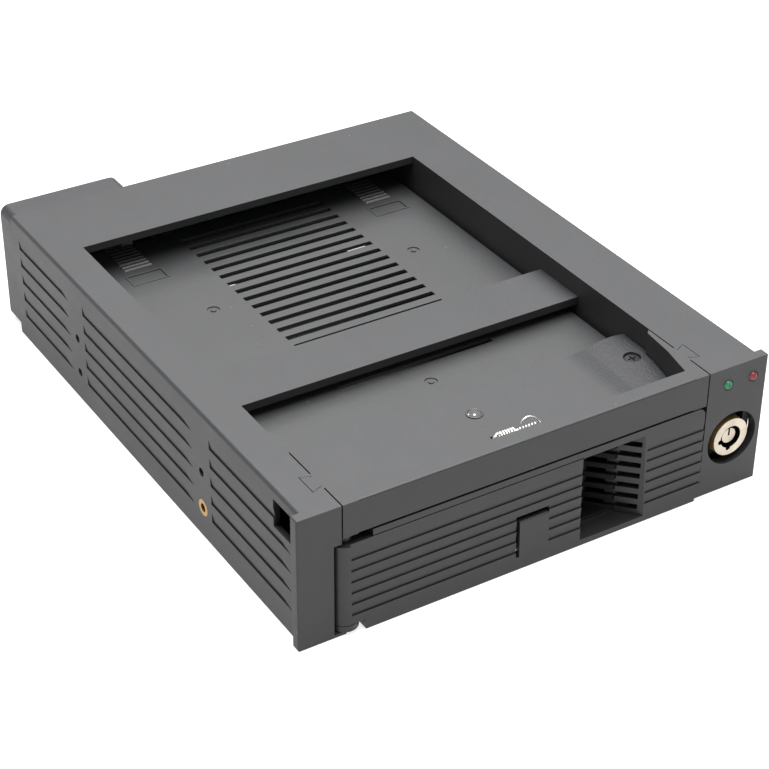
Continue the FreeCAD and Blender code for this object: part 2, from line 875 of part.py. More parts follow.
def lock_cam():
    disc = cyl_y(cam_r, lock_x, lock_z, cam_y, cam_y + cam_t)
    pin = cyl_y(crank_pin_r, crank_rest_x, crank_rest_z, cam_y + cam_t - 0.1, cam_y + cam_t + crank_pin_len)
    shape = join([disc, pin])
    return carve(shape, [cyl_y(plug_r - 0.88, lock_x, lock_z, cam_y - past, cam_y + cam_t - 0.88),
                         cyl_y(cam_screw_r + 0.02, lock_x, lock_z,
                               cam_y + cam_t - cam_screw_head, cam_y + cam_t + past),
                         cyl_y(0.75, lock_x, lock_z, cam_y - past, cam_y + cam_t + past)])


def cam_screw():
    top = cam_y + cam_t
    head = cyl_y(cam_screw_r, lock_x, lock_z, top - cam_screw_head, top)
    shank = cyl_y(0.68, lock_x, lock_z, lock_len - 2.6, top - cam_screw_head + 0.1)
    slot = box(lock_x - 1.2, lock_x + 1.2, top - 0.4, top + past, lock_z - 0.2, lock_z + 0.2)
    return carve(join([head, shank]), [slot])


def lock_bar():
    """Flat slider: strip, guide lobe, spring tab, tooth and a fork over the crank pin."""
    y0, y1 = bar_y, bar_y + bar_w
    arm0, arm1 = crank_rest_x - bar_arm_half, crank_rest_x + bar_arm_half
    strip = box(bar_left, arm1, y0, y1, bar_low, bar_top)
    elbow = box(arm0, arm1, y1 - 0.5, arm_y + bar_t, bar_low, bar_top)
    arm = box(arm0, arm1, arm_y, arm_y + bar_t, crank_rest_z - crank_pin_r - 0.3, bar_top)
    lobe = box(rivet_x - bar_lobe_r, rivet_x + bar_travel + bar_lobe_r, y1 - 0.5, rivet_y + bar_lobe_r,
               bar_low, bar_top)
    tab = box(bar_tab_x, bar_tab_x + bar_tab_w, spring_y - 0.5, spring_y + 0.5,
              bar_top - 0.1, bar_top + bar_tab_h)
    tooth = box(tooth_x, tooth_x + tooth_w, y0 - tooth_reach, y0 - tooth_reach + bar_t,
                bar_low - tooth_drop, bar_top)
    tooth_root = box(tooth_x, tooth_x + tooth_w, y0 - tooth_reach, y0 + 0.5, bar_low, bar_top)
    shape = join([strip, elbow, arm, lobe, tab, tooth, tooth_root])
    fork = box(crank_rest_x - crank_pin_r - bar_slot_gap, crank_rest_x + crank_pin_r + bar_slot_gap,
               arm_y - past, arm_y + bar_t + past, 0, lock_z + crank_r + crank_pin_r + 0.4)
    guide = box(rivet_x - rivet_r - guide_end_gap, rivet_x + bar_travel + rivet_r + guide_end_gap,
                rivet_y - rivet_r - guide_gap, rivet_y + rivet_r + guide_gap, bar_low - past, bar_top + past)
    return carve(shape, [fork, guide])


def led(x):
    dome = Part.makeSphere(led_r, V(x, led_r - led_proud, led_z))
    barrel = cyl_y(led_r, x, led_z, led_r - led_proud, bezel_depth + 0.5)
    flange = cyl_y(led_flange_r, x, led_z, bezel_depth + 0.2, bezel_depth + 0.2 + led_flange_t)
    pieces = [dome, barrel, flange]
    for side in (-1, 1):
        pieces.append(cyl_y(led_pin_r, x + side * led_pin_half, led_z,
                            bezel_depth + led_flange_t, led_board_y))
    return join(pieces)


def lead_line_x():
    places = led_places()
    return (places["led_green"] + places["led_red"]) / 2


def led_board():
    places = led_places()
    board = box(places["led_green"] - led_board_margin, places["led_red"] + led_board_margin - 0.3,
                led_board_y, led_board_y + led_board_t, led_z - led_board_h / 2, led_z + led_board_h / 2)
    return board


def led_lead():
    """Lead from the light board back to the backplane, straight between its clips."""
    x = lead_line_x()
    start = led_board_y + led_board_t
    end = backplane_face
    plugs = []
    for y0, y1 in ((start, start + lead_plug_len), (end - lead_plug_len, end)):
        plugs.append(box(x - lead_plug_half, x + lead_plug_half, y0, y1,
                         led_z - lead_plug_h / 2, led_z + lead_plug_h / 2))
    sleeve = cyl_y(lead_r, x, led_z, start + lead_plug_len - lead_sink, end - lead_plug_len + lead_sink)
    return join([sleeve] + plugs)


def backplane_board():
    y0 = backplane_face
    shape = box(backplane_left, body_w - backplane_margin, y0, y0 + board_t, backplane_low, backplane_high)
    holes = [cyl_y(board_screw_r + 0.1, x, z, y0 - past, y0 + board_t + past) for x, z in backplane_corners()]
    return carve(shape, holes)


def backplane_screws():
    y0 = backplane_face
    screws = []
    for x, z in backplane_corners():
        head = cyl_y(board_screw_head_r, x, z, y0 - board_screw_head_h, y0)
        shank = cyl_y(board_screw_r - 0.02, x, z, y0 - 0.1, body_d - 0.8)
        head_y = y0 - board_screw_head_h
        slot = box(x - 1.6, x + 1.6, head_y - past, head_y + 0.5, z - 0.25, z + 0.25)
        screws.append(carve(join([head, shank]), [slot]))
    return Part.makeCompound(screws)


def backplane_socket():
    y1 = backplane_face
    y0 = y1 - dock_overlap - dock_end_gap
    outer = box(dock_x - dock_gap - dock_wall, dock_x + dock_w + dock_gap + dock_wall, y0, y1,
                dock_z - dock_gap - dock_wall, dock_z + dock_h + dock_gap + dock_wall)
    inner = box(dock_x - dock_gap, dock_x + dock_w + dock_gap, y0 - past, y1 - 1.5,
                dock_z - dock_gap, dock_z + dock_h + dock_gap)
    return carve(outer, [inner])


def rear_socket(x, width, height, pins):
    y0 = backplane_face + board_t
    y1 = body_d + socket_proud
    shell = box(x, x + width, y0, y1, socket_z, socket_z + height)
    mouth = box(x + socket_wall, x + width - socket_wall, y0 + 1.2, y1 + past,
                socket_z + socket_wall, socket_z + height - socket_wall)
    shape = carve(shell, [mouth])
    pitch = (width - 2 * socket_wall) / pins
    middle = socket_z + height / 2
    parts = [shape]
    for index in range(pins):
        pin_x = x + socket_wall + pitch * (index + 0.5)
        parts.append(cyl_y(min(0.9, pitch * 0.3), pin_x, middle, y0 + 1.0, y1 - 1.5))
    return join(parts)


def data_socket():
    y0 = backplane_face + board_t
    y1 = body_d + socket_proud
    shell = box(data_x, data_x + data_w, y0, y1, socket_z, socket_z + data_h)
    mouth = box(data_x + socket_wall, data_x + data_w - socket_wall, y0 + 1.2, y1 + past,
                socket_z + socket_wall, socket_z + data_h - socket_wall)
    middle = socket_z + data_h / 2
    tongue = box(data_x + 2.2, data_x + data_w - 2.2, y0 + 1.0, y1 - 1.0, middle - 0.6, middle + 0.6)
    foot = box(data_x + 2.2, data_x + 3.4, y0 + 1.0, y1 - 1.0, middle - 1.8, middle + 0.6)
    return join([carve(shell, [mouth]), tongue, foot])


# ---- Fan

def fan_frame():
    y0, y1 = body_d, body_d + fan_t
    shell = box(fan_left, fan_left + fan_size, y0, y1, fan_low, fan_low + fan_size)
    shell = round_edges(shell, fan_corner, lambda e: along(e, V(0, 1, 0)))
    shell = carve(shell, [cyl_y(fan_bore_r, fan_x, fan_z, y0 - past, y1 + past)])
    base = cyl_y(fan_hub_r, fan_x, fan_z, y1 - fan_base_t, y1)
    reach = fan_bore_r + 1.0
    pieces = [shell, base]
    for turn in range(4):
        strut = box(fan_x, fan_x + reach, y1 - fan_base_t, y1,
                    fan_z - fan_strut_w / 2, fan_z + fan_strut_w / 2)
        strut.rotate(V(fan_x, y1, fan_z), V(0, 1, 0), 20 + 90 * turn)
        pieces.append(strut)
    pieces.append(cyl_y(fan_shaft_r + 1.6, fan_x, fan_z, y1 - fan_base_t - 4.0, y1 - fan_base_t + 0.1))
    shape = join(pieces)
    cuts = [cyl_y(fan_shaft_r + shaft_gap, fan_x, fan_z, y1 - fan_base_t - 5.0, y1 - 0.6)]
    for x, z in fan_corners():
        cuts.append(cyl_y(fan_screw_r + 0.1, x, z, y0 - past, y1 + past))
        cuts.append(cyl_y(fan_screw_head_r + 0.2, x, z, y1 - fan_screw_head_h, y1 + past))
    return carve(shape, cuts)


def fan_rotor():
    y0 = body_d + fan_end_gap
    y1 = body_d + fan_t - fan_base_t - fan_end_gap
    cup = cyl_y(fan_hub_r - 0.4, fan_x, fan_z, y0, y1)
    cup = carve(cup, [cyl_y(fan_hub_r - 1.6, fan_x, fan_z, y0 + 1.4, y1 + past)])
    pieces = [cup, cyl_y(fan_shaft_r, fan_x, fan_z, y0 + 1.0, body_d + fan_t - 0.8)]
    span = y1 - y0 - 0.6
    for index in range(fan_blades):
        blade = box(fan_x + fan_hub_r - 1.2, fan_x + fan_rotor_r, -fan_blade_t / 2, fan_blade_t / 2,
                    fan_z - 5.2, fan_z + 5.2)
        blade.rotate(V(fan_x, 0, fan_z), V(1, 0, 0), fan_blade_deg)
        blade.translate(V(0, (y0 + y1) / 2, 0))
        blade.rotate(V(fan_x, 0, fan_z), V(0, 1, 0), 360.0 * index / fan_blades)
        pieces.append(blade)
    rotor = join(pieces)
    sweep = cyl_y(fan_rotor_r, fan_x, fan_z, y0, body_d + fan_t)
    return rotor.common(join([cyl_y(fan_rotor_r, fan_x, fan_z, (y0 + y1 - span) / 2, (y0 + y1 + span) / 2),
                              cyl_y(fan_hub_r, fan_x, fan_z, y0, y1),
                              cyl_y(fan_shaft_r, fan_x, fan_z, y0, body_d + fan_t)])).common(sweep)


def fan_screws():
    y1 = body_d + fan_t
    screws = []
    for x, z in fan_corners():
        head = cyl_y(fan_screw_head_r, x, z, y1 - fan_screw_head_h, y1 - 0.1)
        shank = cyl_y(fan_screw_r - 0.32, x, z, y1 - fan_screw_len, y1 - fan_screw_head_h + 0.1)
        slots = [box(x - 1.5, x + 1.5, y1 - 0.9, y1 + past, z - 0.3, z + 0.3),
                 box(x - 0.3, x + 0.3, y1 - 0.9, y1 + past, z - 1.5, z + 1.5)]
        screws.append(carve(join([head, shank]), slots))
    return Part.makeCompound(screws)


# ---- Tray

def scoop_plan(grow, wall):
    """Plan of the finger scoop: straight on the left, slanted at 45 degrees on the right."""
    y0 = tray_front
    y1 = tray_front + scoop_depth
    right = finger_right_at(y0)
    left = finger_x - 0.7
    return [(left - wall - grow, y0), (right + wall * 1.5 + grow, y0),
            (right - scoop_depth + wall * 0.6 + grow, y1 + wall + grow),
            (left - wall - grow, y1 + wall + grow)]


def finger_right_at(y):
    """X of the finger opening's slanted right wall at depth y."""
    return finger_x + finger_w - (y + handle_lean)


def drive_hole_places():
    """The four screw holes under a 3.5 inch drive."""
    xs = (tray_middle - tray_hole_pitch_x / 2, tray_middle + tray_hole_pitch_x / 2)
    return [(x, y) for x in xs for y in (tray_hole_y, tray_hole_y + tray_hole_pitch_y)]


def tray_body():
    z0 = tray_bottom
    top = cover_top
    walls_top = cover_low - cover_gap
    side0 = box(tray_left, tray_left + tray_wall, tray_front, tray_rear, z0, walls_top)
    side1 = box(tray_right - tray_wall, tray_right, tray_front, tray_rear, z0, walls_top)
    floor = box(tray_left, tray_right, tray_front, tray_rear, z0, drive_low)
    head = box(tray_left, tray_right, tray_front, tray_front + tray_head_t, z0, top)
    head_top = box(tray_left, tray_right, tray_front, tray_front + tray_head_len, walls_top, top)
    rear = box(tray_left, tray_right, board_y - tray_rear_t, board_y, tray_board_low, walls_top)
    stop_x = tooth_x - stop_side_gap - tooth_w
    stop_y = bar_y - tooth_reach + bar_t + stop_gap
    stop = box(stop_x, stop_x + tooth_w, stop_y, stop_y + stop_t, top - 0.1, top + stop_h)
    shape = join([side0, side1, floor, head, head_top, rear, stop] + drive_guides())
    relief = cyl_z(knuckle_r + relief_gap, hinge_x, hinge_y, z0 - past, top + past)
    corner = box(handle_left - past, hinge_x, hinge_y, tray_front + 1.2, z0 - past, top + past)
    scoop = prism_z(scoop_plan(scoop_fit, scoop_wall), drive_low, walls_top)
    shape = carve(shape, [relief, corner, scoop])

    knuckle_top = z0 + lower_knuckle_h
    ear_low = handle_top - hinge_notch_h + hinge_gap + head_ear_gap
    arms = [cyl_z(knuckle_r, hinge_x, hinge_y, z0, knuckle_top),
            box(tray_left - 0.6, hinge_x + knuckle_r, hinge_y, tray_front + 3, z0, knuckle_top),
            cyl_z(ear_r, hinge_x, hinge_y, ear_low, ear_low + ear_t),
            box(tray_left, hinge_x + ear_r, hinge_y, tray_front + 3, ear_low, ear_low + ear_t)]
    shape = join([shape] + arms)
    cuts = [cyl_z(pin_r + skim, hinge_x, hinge_y, z0 + 0.3, ear_low + ear_t - 0.3)]
    for x, y in drive_hole_places():
        cuts.append(cyl_z(tray_hole_r, x, y, z0 - past, drive_low + past))
    for index in range(floor_slot_count):
        x = tray_middle + (index - (floor_slot_count - 1) / 2) * floor_slot_pitch
        y = drive_front + floor_slot_start
        cuts.append(box(x - floor_slot_w / 2, x + floor_slot_w / 2, y, y + floor_slot_len,
                        z0 - past, drive_low + past))
    cuts.append(box(sata_x - 0.3, sata_x + sata_w + 0.3, board_y - tray_rear_t - past, board_y + past,
                    sata_z() - 0.3, sata_z() + sata_h + 0.3))
    for x, z in tray_board_holes():
        cuts.append(cyl_y(board_screw_r - 0.3, x, z, board_y - tray_rear_t - past, board_y + past))
    tab_middle = tab_x + tab_w / 2
    hook_low = tab_low + tab_h - tab_hook_drop
    catch_half = tab_hook_w / 2 + catch_side_gap
    catch_swing = (tray_front + tab_hook_reach - tab_pin_y()) * math.sin(math.radians(tab_angle_deg))
    catch_swing = catch_swing + catch_swing_gap
    cuts.append(box(tab_middle - catch_half, tab_middle + catch_half,
                    tray_front - past, tray_front + tray_head_t + past,
                    hook_low - catch_swing, hook_low + tab_hook_h + catch_top_gap))
    for x in (peep_left_x, peep_right_x):
        cuts.append(box(x, x + peep_w, tray_rear - peep_notch, tray_rear + past, z0 - past, drive_low + past))
    return carve(shape, cuts)


def drive_guides():
    """Low ribs along both side walls that keep the drive in the middle of the tray."""
    reach = drive_w / 2 + drive_side_gap
    low = drive_low - skim
    ribs = []
    for index in range(guide_count):
        y = drive_front + guide_start + index * guide_pitch
        for x0, x1 in ((tray_left + tray_wall - skim, tray_middle - reach),
                       (tray_middle + reach, tray_right - tray_wall + skim)):
            ribs.append(box(x0, x1, y, y + guide_t, low, low + guide_h))
    return ribs


def sata_z():
    return tray_board_low + 2.0


def tray_board_holes():
    z = tray_board_high - 3.0
    return [(tray_board_x + 4.0, z), (tray_board_x + tray_board_w - 4.0, z)]


def tray_board():
    shape = box(tray_board_x, tray_board_x + tray_board_w, board_y, board_y + board_t,
                tray_board_low, tray_board_high)
    holes = [cyl_y(board_screw_r, x, z, board_y - past, board_y + board_t + past)
             for x, z in tray_board_holes()]
    return carve(shape, holes)


def board_screws():
    screws = []
    for x, z in tray_board_holes():
        y1 = board_y + board_t
        head = cyl_y(board_screw_head_r, x, z, y1, y1 + board_screw_head_h)
        shank = cyl_y(board_screw_r - 0.32, x, z, board_y - tray_rear_t + 0.1, y1 + 0.1)
        head_y = y1 + board_screw_head_h
        slot = box(x - 1.6, x + 1.6, head_y - 0.5, head_y + past, z - 0.25, z + 0.25)
        screws.append(carve(join([head, shank]), [slot]))
    return Part.makeCompound(screws)


def drive_connector():
    y0 = connector_y
    z = sata_z()
    body = box(sata_x, sata_x + sata_w, y0, board_y, z, z + sata_h)
    groove = box(sata_x + 1.2, sata_x + sata_w - 1.2, y0 - past, y0 + 0.9, z + 1.2, z + sata_h - 1.2)
    web = box(sata_x + sata_w * 0.42, sata_x + sata_w * 0.46, y0, y0 + 1.2, z + 0.5, z + sata_h - 0.5)
    return join([carve(body, [groove]), web])


def tray_dock_plug():
    y0 = board_y + board_t
    y1 = backplane_face - dock_end_gap
    body = box(dock_x, dock_x + dock_w, y0, y1, dock_z, dock_z + dock_h)
    collar = box(dock_x - 1.4, dock_x + dock_w + 1.4, y0, y0 + 1.6, dock_z - 1.4, dock_z + dock_h + 1.4)
    return join([body, collar])


def finger_scoop():
    z0 = drive_low
    z1 = cover_low - cover_gap
    outer = prism_z(scoop_plan(0, scoop_wall), z0 + 0.05, z1 - 0.05)
    y0 = tray_front
    right = finger_right_at(y0)
    left = finger_x - 0.7
    inner = prism_z([(left, y0 - past), (right + past, y0 - past), (right - scoop_depth, y0 + scoop_depth),
                     (left, y0 + scoop_depth)], z0 + scoop_wall, z1 - scoop_wall)
    cuts = [inner]
    for index in range(bead_count):
        z = bead_z - bead_pitch * 0.6 + index * bead_pitch
        if z > z0 + scoop_wall:
            cuts.append(prism_z([(right - 1.2 + past, y0 - past), (right + 2.5 + past, y0 - past),
                                 (right - scoop_depth + 4.5, y0 + scoop_depth - 0.6),
                                 (right - scoop_depth + 0.2, y0 + scoop_depth - 0.6)], z, z + louvre_h))
    return carve(outer, cuts)


def tray_cover():
    plate = box(tray_left, tray_right, cover_front, cover_rear, cover_low, cover_top)
    pieces = [plate]
    rail_y0 = cover_front + 4.0
    rail_y1 = tray_rear - 22.0
    inset = tray_wall + 0.25
    for x in (tray_left + inset, tray_right - inset - cover_rail_w):
        pieces.append(box(x, x + cover_rail_w, rail_y0, rail_y1, cover_low - cover_rail_h, cover_low + 0.1))
    shape = join(pieces)
    cuts = []
    for index in range(slot_count):
        y = slot_last_y - index * slot_pitch
        cuts.append(box(slot_x, slot_x + slot_len, y - slot_w / 2, y + slot_w / 2,
                        cover_low - past, cover_top + past))
    for x, y in cover_marks():
        ring = cyl_z(cover_mark_r, x, y, cover_top - cover_mark_depth, cover_top + past)
        cuts.append(ring.cut(cyl_z(cover_mark_r * 0.45, x, y, cover_top - past, cover_top + past)))
    shape = carve(shape, cuts)
    trims = []
    hollows = []
    grip_y = cover_rear - grip_rear_in
    rib_len = grip_pitch * grip_rib_share
    for centre in grip_centres():
        for rib in range(grip_ribs):
            y = grip_y + rib * grip_pitch
            trims.append(prism_x([(y, cover_top - skim), (y + rib_len, cover_top - skim),
                                  (y + rib_len / 2, cover_top + grip_rib_h)],
                                 centre - grip_w / 2, centre + grip_w / 2))
        y1 = grip_y - label_gap
        trims.append(box(centre - label_w / 2, centre + label_w / 2, y1 - label_len, y1,
                         cover_top - skim, cover_top + label_rise))
        hollows.append(box(centre - label_w / 2 + label_rim, centre + label_w / 2 - label_rim,
                           y1 - label_len + label_rim, y1 - label_rim,
                           cover_top - label_sink, cover_top + past))
    return carve(join([shape] + trims), hollows)


def cover_marks():
    front = crossbar_y - mark_front_gap
    behind = crossbar_y + crossbar_w + mark_rear_gap
    return [(tray_middle + mark_front_x, front), (tray_middle - mark_left_x, behind),
            (tray_middle + mark_right_x, behind)]


def grip_centres():
    return [tray_left + grip_left_in + grip_w / 2, tray_right - grip_right_in - grip_w / 2]


# ---- Handle panel and release tab

def bead(z, x0, x1):
    """One groove of the panel: the face leans in towards a shadow line at height z."""
    y0 = front_y(z)
    y1 = front_y(z + bead_h)
    points = [(y0 - past, z), (y0, z), (y0 + bead_depth, z - bead_undercut),
              (y1, z + bead_h), (y1 - past, z + bead_h)]
    return prism_x(points, x0, x1)


def louvre_heights():
    low = bead_z - bead_pitch * 0.6
    heights = [low + index * bead_pitch for index in range(bead_count + 1)]
    return [z for z in heights if z > finger_low + 0.4]


def swing_handle():
    z0, z1 = handle_low, handle_top
    profile = [(front_y(z1), z1), (front_y(z0), z0), (handle_rear, z0), (handle_rear, z1)]
    panel = prism_x(profile, hinge_x, handle_right)
    knuckle = cyl_z(knuckle_r, hinge_x, hinge_y, z0, z1)
    knuckle = knuckle.common(box(handle_left, hinge_x, hinge_y - knuckle_r, hinge_y + knuckle_r, z0, z1))
    rear_corner = box(handle_left - past, hinge_x, handle_rear, hinge_y + knuckle_r + past,
                      z0 - past, z1 + past)
    shape = carve(join([panel, knuckle]), [rear_corner])

    front, back = -past - handle_lean, hinge_y + knuckle_r + past
    notch_low = z1 - hinge_notch_h
    knuckle_low = tray_bottom + lower_knuckle_h + hinge_gap
    cuts = [
        box(handle_left - past, handle_left + hinge_notch_w, front, back, notch_low, z1 + past),
        box(handle_left - past, hinge_x + knuckle_r + hinge_gap, front, back, z0 - past, knuckle_low),
        box(hinge_x, hinge_x + handle_foot_w, front, back, z0 - past, z0 + handle_foot_lift),
        box(handle_right - 1.6, handle_right + past, front, back, z0 - past, z0 + handle_foot_lift),
        cyl_z(pin_r + pin_gap, hinge_x, hinge_y, z0 - past, z1 + past),
    ]
    # rounded top right corner
    corner = box(handle_right - corner_round, handle_right + past, front, back,
                 z1 - corner_round, z1 + past)
    cuts.append(corner.cut(cyl_y(corner_round, handle_right - corner_round, z1 - corner_round,
                                 front - past, back + past)))
    # finger opening with its slanted right wall
    finger_top = z1 - finger_top_gap
    finger_right = finger_x + finger_w
    cuts.append(prism_z([(finger_x, front), (finger_right, front), (finger_right, -handle_lean),
                         (finger_right_at(handle_rear + 0.1), handle_rear + 0.1),
                         (finger_x, handle_rear + 0.1)],
                        finger_low, finger_top))
    # grooves each side of the opening
    for index in range(bead_count):
        z = bead_z + index * bead_pitch
        cuts.append(bead(z, hinge_x + 0.3, finger_x + skim))
        cuts.append(bead(z, finger_right - 0.01, handle_right + past))
    line_z = z1 - strip_line_drop
    line_y = front_y(line_z)
    cuts.append(prism_x([(line_y - past, line_z), (line_y + strip_line_depth, line_z),
                         (line_y + strip_line_depth, line_z + strip_line_h),
                         (line_y - past, line_z + strip_line_h)],
                        handle_left + hinge_notch_w - 0.01, finger_x + skim))
    # hollow behind the skin, left and right of the opening
    low, high = z0 + handle_rib, z1 - handle_rib
    rib_x = tab_x - tab_side_gap - handle_rib
    rib_x1 = tab_x + tab_w + tab_side_gap + handle_rib
    cuts.append(box(hinge_x + knuckle_r + 1.0, rib_x, handle_skin, handle_rear + past, low + 1.2, high))
    cuts.append(box(rib_x1, finger_x - handle_rib, handle_skin, handle_rear + past, low, high))
    cuts.append(prism_z([(finger_right_at(handle_skin) + louvre_wall, handle_skin),
                         (handle_right - 1.8, handle_skin), (handle_right - 1.8, handle_rear + past),
                         (finger_right_at(handle_rear + 1) + louvre_wall, handle_rear + 1)], low, high))
    for z in louvre_heights():
        if z + louvre_h < high:
            x0 = finger_right_at(0.4)
            x1 = finger_right_at(handle_rear + 0.2)
            cuts.append(prism_z([(x0 - 0.6, 0.4), (x0 + louvre_wall + 0.8, 0.4),
                                 (x1 + louvre_wall + 0.8, handle_rear + 0.2), (x1 - 0.6, handle_rear + 0.2)],
                                z, z + louvre_h))
    # window and bearing for the release tab
    tab_top = tab_low + tab_h
    cuts.append(box(tab_x - tab_side_gap, tab_x + tab_w + 0.25, front, handle_rear + past,
                    tab_low - 0.2, tab_top + tab_top_gap))
    cuts.append(cyl(tab_pin_r + skim, V(tab_x - tab_side_gap - 1.5, tab_pin_y(), tab_pin_z),
                    V(tab_x + tab_w + 1.8, tab_pin_y(), tab_pin_z)))
    return carve(shape, cuts)


def handle_pin():
    z0 = tray_bottom + 0.35
    z1 = handle_top - hinge_notch_h + hinge_gap + head_ear_gap + ear_t - 0.35
    return cyl_z(pin_r, hinge_x, hinge_y, z0, z1)


def tab_pin_y():
    return front_y(tab_pin_z) + tab_pin_depth


def release_tab():
    """Push tab that swings in on its lower pin; its hook holds the panel to the tray."""
    z0, z1 = tab_low, tab_low + tab_h
    face = front_y(z0) - tab_proud
    top_face = front_y(z1) - tab_proud
    profile = [(top_face, z1), (face, z0), (face + tab_t, z0), (top_face + tab_t, z1)]
    plate = prism_x(profile, tab_x, tab_x + tab_w)
    plate = round_edges(plate, 0.4, lambda e: along(e, V(1, 0, 0)) and e.CenterOfMass.z > z1 - 0.5
                        and e.CenterOfMass.y < top_face + 0.5)
    barrel = cyl(tab_barrel_r, V(tab_x, tab_pin_y(), tab_pin_z), V(tab_x + tab_w, tab_pin_y(), tab_pin_z))
    middle = tab_x + tab_w / 2
    hook = box(middle - tab_hook_w / 2, middle + tab_hook_w / 2, top_face + tab_t - 0.3,
               tray_front + tab_hook_reach, z1 - tab_hook_drop, z1 - tab_hook_drop + tab_hook_h)
    shape = join([plate, barrel, hook])
    cuts = [cyl(tab_pin_r + pin_gap, V(tab_x - past, tab_pin_y(), tab_pin_z),
                V(tab_x + tab_w + past, tab_pin_y(), tab_pin_z)),
            box(middle - tab_spring_len / 2 - 0.2, middle + tab_spring_len / 2 + 0.2,
                tab_pin_y() - tab_spring_r - tab_spring_gap, tab_pin_y() + tab_barrel_r + past,
                tab_pin_z - tab_spring_r - tab_spring_gap, tab_pin_z + tab_spring_r + tab_spring_gap)]
    return carve(shape, cuts)


def tab_pin():
    return cyl(tab_pin_r, V(tab_x - tab_side_gap - 1.4, tab_pin_y(), tab_pin_z),
               V(tab_x + tab_w + 1.7, tab_pin_y(), tab_pin_z))


def tab_spring():
    middle = tab_x + tab_w / 2
    a = V(middle - tab_spring_len / 2, tab_pin_y(), tab_pin_z)
    b = V(middle + tab_spring_len / 2, tab_pin_y(), tab_pin_z)
    bore = cyl(tab_pin_r + 0.02, V(a.x - past, a.y, a.z), V(b.x + past, b.y, b.z))
    return cyl(tab_spring_r, a, b).cut(bore)


def main():
    os.makedirs("parts", exist_ok=True)
    places = led_places()
    builders = {
        "bay_frame": bay_frame, "front_header": front_header, "front_deck": front_deck,
        "deck_screw": deck_screw, "deck_rivet": deck_rivet, "thread_inserts": thread_inserts,
        "return_spring": return_spring, "lock_bar": lock_bar, "lock_barrel": lock_barrel,
        "lock_plug": lock_plug, "lock_nut": lock_nut, "lock_cam": lock_cam, "cam_screw": cam_screw,
        "led_board": led_board, "led_lead": led_lead,
        "backplane_board": backplane_board, "backplane_screws": backplane_screws,
        "backplane_socket": backplane_socket, "data_socket": data_socket,
        "fan_frame": fan_frame, "fan_rotor": fan_rotor, "fan_screws": fan_screws,
        "tray_body": tray_body, "tray_cover": tray_cover, "tray_board": tray_board,
        "board_screws": board_screws, "drive_connector": drive_connector,
        "tray_dock_plug": tray_dock_plug, "finger_scoop": finger_scoop,
        "swing_handle": swing_handle, "handle_pin": handle_pin,
        "release_tab": release_tab, "tab_pin": tab_pin, "tab_spring": tab_spring,
    }
    for node, builder in builders.items():
        save(node, builder())
    save("led_green", led(places["led_green"]))
    save("led_red", led(places["led_red"]))
    save("power_socket", rear_socket(power_x, power_w, power_h, 4))


main()
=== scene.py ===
"""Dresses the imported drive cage: soft moulded edges, plastics, metals, lights and camera."""
import math

import bmesh
import bpy
from mathutils import Matrix, Vector
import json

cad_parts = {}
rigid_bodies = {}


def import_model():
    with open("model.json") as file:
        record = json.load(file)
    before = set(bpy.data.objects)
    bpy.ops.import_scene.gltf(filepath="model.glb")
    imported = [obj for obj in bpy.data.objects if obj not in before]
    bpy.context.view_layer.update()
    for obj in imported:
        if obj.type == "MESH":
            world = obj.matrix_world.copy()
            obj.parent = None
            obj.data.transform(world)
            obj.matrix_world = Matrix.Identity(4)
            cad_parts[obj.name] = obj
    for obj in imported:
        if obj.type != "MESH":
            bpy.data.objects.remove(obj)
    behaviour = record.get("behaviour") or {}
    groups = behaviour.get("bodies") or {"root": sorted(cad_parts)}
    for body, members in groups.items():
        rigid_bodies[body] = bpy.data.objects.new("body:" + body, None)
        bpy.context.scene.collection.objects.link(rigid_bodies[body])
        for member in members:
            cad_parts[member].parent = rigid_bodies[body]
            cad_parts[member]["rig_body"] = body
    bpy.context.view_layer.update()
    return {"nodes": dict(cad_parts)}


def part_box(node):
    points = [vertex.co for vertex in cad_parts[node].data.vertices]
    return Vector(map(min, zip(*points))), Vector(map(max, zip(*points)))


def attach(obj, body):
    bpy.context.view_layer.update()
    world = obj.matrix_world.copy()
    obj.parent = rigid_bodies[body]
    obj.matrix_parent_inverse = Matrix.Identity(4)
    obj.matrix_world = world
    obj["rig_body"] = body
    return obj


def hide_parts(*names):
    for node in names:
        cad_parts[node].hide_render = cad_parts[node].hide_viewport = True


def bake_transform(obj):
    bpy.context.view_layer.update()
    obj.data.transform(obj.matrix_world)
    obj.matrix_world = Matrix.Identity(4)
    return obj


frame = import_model()
SCENE = bpy.context.scene
MM = 0.001

BEZEL_LIP = 2.0 * MM          # how far the bezel stands proud of the body's side
DECK_UP = 1.4 * MM            # top of the front deck's plate above its lowest point
PLASTIC_IOR = 1.5
cage_low, cage_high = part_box("bay_frame")
CORNER = Vector((cage_low.x + BEZEL_LIP, cage_low.y, 0.0))   # body's left side, bezel's front, underside


def at(x, y, z):
    """A point given in millimetres from the body's lower left front corner."""
    return CORNER + Vector((x, y, z)) * MM


# ---- Node materials

